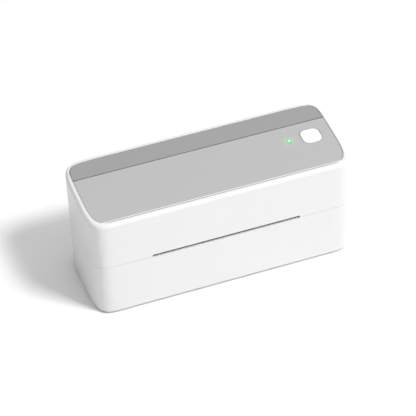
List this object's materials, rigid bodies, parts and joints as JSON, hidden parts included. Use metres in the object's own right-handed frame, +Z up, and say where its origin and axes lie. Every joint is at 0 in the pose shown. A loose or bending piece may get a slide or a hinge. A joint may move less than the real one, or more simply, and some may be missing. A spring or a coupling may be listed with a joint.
{
  "type": "thermal label printer",
  "caption": "Desktop thermal label printer: white two-shell case with a hinged lid, grey top panels, feed button, status light and a front label slot.",
  "frame": {"origin": "on the resting surface, under the middle of the case", "axes": "+X along the case to the right as seen from the front, +Y from the front (label slot) to the back (hinge), +Z up"},
  "size_m": [0.208, 0.0776, 0.0901],
  "materials": {
    "white_shell": "satin white moulded ABS",
    "grey_panel": "fine matt grey sheet",
    "white_button": "gloss white moulded cap",
    "clear_light": "lit green light pipe",
    "black_plastic": "matt black moulded plastic",
    "grey_plastic": "matt dark grey moulded plastic",
    "acetal": "natural acetal",
    "steel_plate": "zinc-plated sheet steel",
    "steel_pin": "ground steel",
    "screw_steel": "zinc-plated screws",
    "aluminium": "extruded aluminium",
    "rubber_roller": "ground silicone rubber",
    "rubber_foot": "soft grey-black rubber",
    "circuit_board": "green solder mask on glass-fibre laminate",
    "chip_black": "black epoxy package",
    "capacitor_can": "sleeved aluminium can",
    "header_white": "off-white connector nylon",
    "motor_can": "zinc-plated motor can",
    "brass": "turned brass"
  },
  "bodies": {
    "base": {"lower_shell": "white_shell", "rubber_feet": "rubber_foot", "hinge_pins": "steel_pin", "catch_pins": "steel_pin", "chassis_screws": "screw_steel", "left_side_plate": "steel_plate", "right_side_plate": "steel_plate", "left_platen_bush": "acetal", "right_platen_bush": "acetal", "paper_deck": "grey_plastic", "deck_screws": "screw_steel", "front_paper_guide": "grey_plastic", "tear_bar": "steel_plate", "media_sensor": "black_plastic", "pinion_post": "steel_pin", "stepper_motor": "motor_can", "motor_screws": "screw_steel", "idler_post": "steel_pin", "main_board": "circuit_board", "board_screws": "screw_steel", "board_chips": "chip_black", "board_capacitors": "capacitor_can", "power_inductor": "chip_black", "board_headers": "header_white", "usb_port": "steel_plate", "usb_tongue": "header_white", "dc_jack": "black_plastic", "dc_jack_pin": "brass", "switch_housing": "black_plastic", "switch_terminals": "brass"},
    "lid": {"upper_shell": "white_shell", "top_panel_front": "grey_panel", "top_panel_rear": "grey_panel", "light_pipe": "clear_light", "button_board": "circuit_board", "push_switch": "black_plastic", "status_led": "clear_light", "lid_frame": "grey_plastic", "lid_screws": "screw_steel", "upper_paper_guide": "grey_plastic", "left_snap_hook": "acetal", "right_snap_hook": "acetal", "head_pivot_shaft": "steel_pin", "head_springs": "steel_plate"},
    "platen": {"platen_shaft": "steel_pin", "platen_rubber": "rubber_roller", "platen_gear": "acetal"},
    "idler": {"idler_gear": "acetal"},
    "motor_rotor": {"motor_pinion": "brass", "motor_shaft": "steel_pin"},
    "left_media_guide": {"left_guide": "grey_plastic"},
    "right_media_guide": {"right_guide": "grey_plastic"},
    "guide_wheel": {"guide_pinion": "acetal"},
    "rocker": {"power_rocker": "black_plastic"},
    "feed_button": {"button_cap": "white_button", "switch_plunger": "black_plastic"},
    "head": {"print_head": "aluminium", "head_bracket": "steel_plate", "head_screws": "screw_steel", "head_connector": "header_white"}
  },
  "joints": [
    {"name": "lid_hinge", "type": "hinge", "parent": "base", "child": "lid", "pos_m": [0, 0.03545, 0.0461], "axis": [-1, 0, 0], "range_deg": [0, 70]},
    {"name": "platen_spin", "type": "hinge", "parent": "base", "child": "platen", "pos_m": [0, -0.024, 0.0382], "axis": [1, 0, 0], "continuous": true},
    {"name": "idler_spin", "type": "hinge", "parent": "base", "child": "idler", "pos_m": [-0.074, -0.0141, 0.0283], "axis": [1, 0, 0], "continuous": true},
    {"name": "motor_spin", "type": "hinge", "parent": "base", "child": "motor_rotor", "pos_m": [-0.074, 0.00081, 0.0225], "axis": [1, 0, 0], "continuous": true},
    {"name": "left_guide_slide", "type": "slide", "parent": "base", "child": "left_media_guide", "axis": [1, 0, 0], "range_m": [0, 0.046]},
    {"name": "right_guide_slide", "type": "slide", "parent": "base", "child": "right_media_guide", "axis": [-1, 0, 0], "range_m": [0, 0.046]},
    {"name": "guide_wheel_spin", "type": "hinge", "parent": "base", "child": "guide_wheel", "pos_m": [0, 0.021, 0.0398], "axis": [0, 0, 1], "range_deg": [0, 380]},
    {"name": "power_switch", "type": "hinge", "parent": "base", "child": "rocker", "pos_m": [0.002, 0.0326, 0.0265], "axis": [-1, 0, 0], "range_deg": [0, 16]},
    {"name": "feed_button_press", "type": "slide", "parent": "lid", "child": "feed_button", "axis": [0, 0.0549, -0.9985], "range_m": [0, 0.0005], "stiffness_N_per_m": 800},
    {"name": "head_float", "type": "hinge", "parent": "lid", "child": "head", "pos_m": [0, -0.004, 0.0575], "axis": [-1, 0, 0], "range_deg": [0, 3], "stiffness_Nm_per_rad": 4, "springref_deg": -2.86, "deforming": ["head_springs"]}
  ],
  "couplings": [
    {"joint": "idler_spin", "follows": "platen_spin", "ratio": -2.5},
    {"joint": "motor_spin", "follows": "platen_spin", "ratio": 7.5},
    {"joint": "right_guide_slide", "follows": "left_guide_slide", "ratio": 1},
    {"joint": "guide_wheel_spin", "follows": "left_guide_slide", "rad_per_m": 142.86}
  ]
}
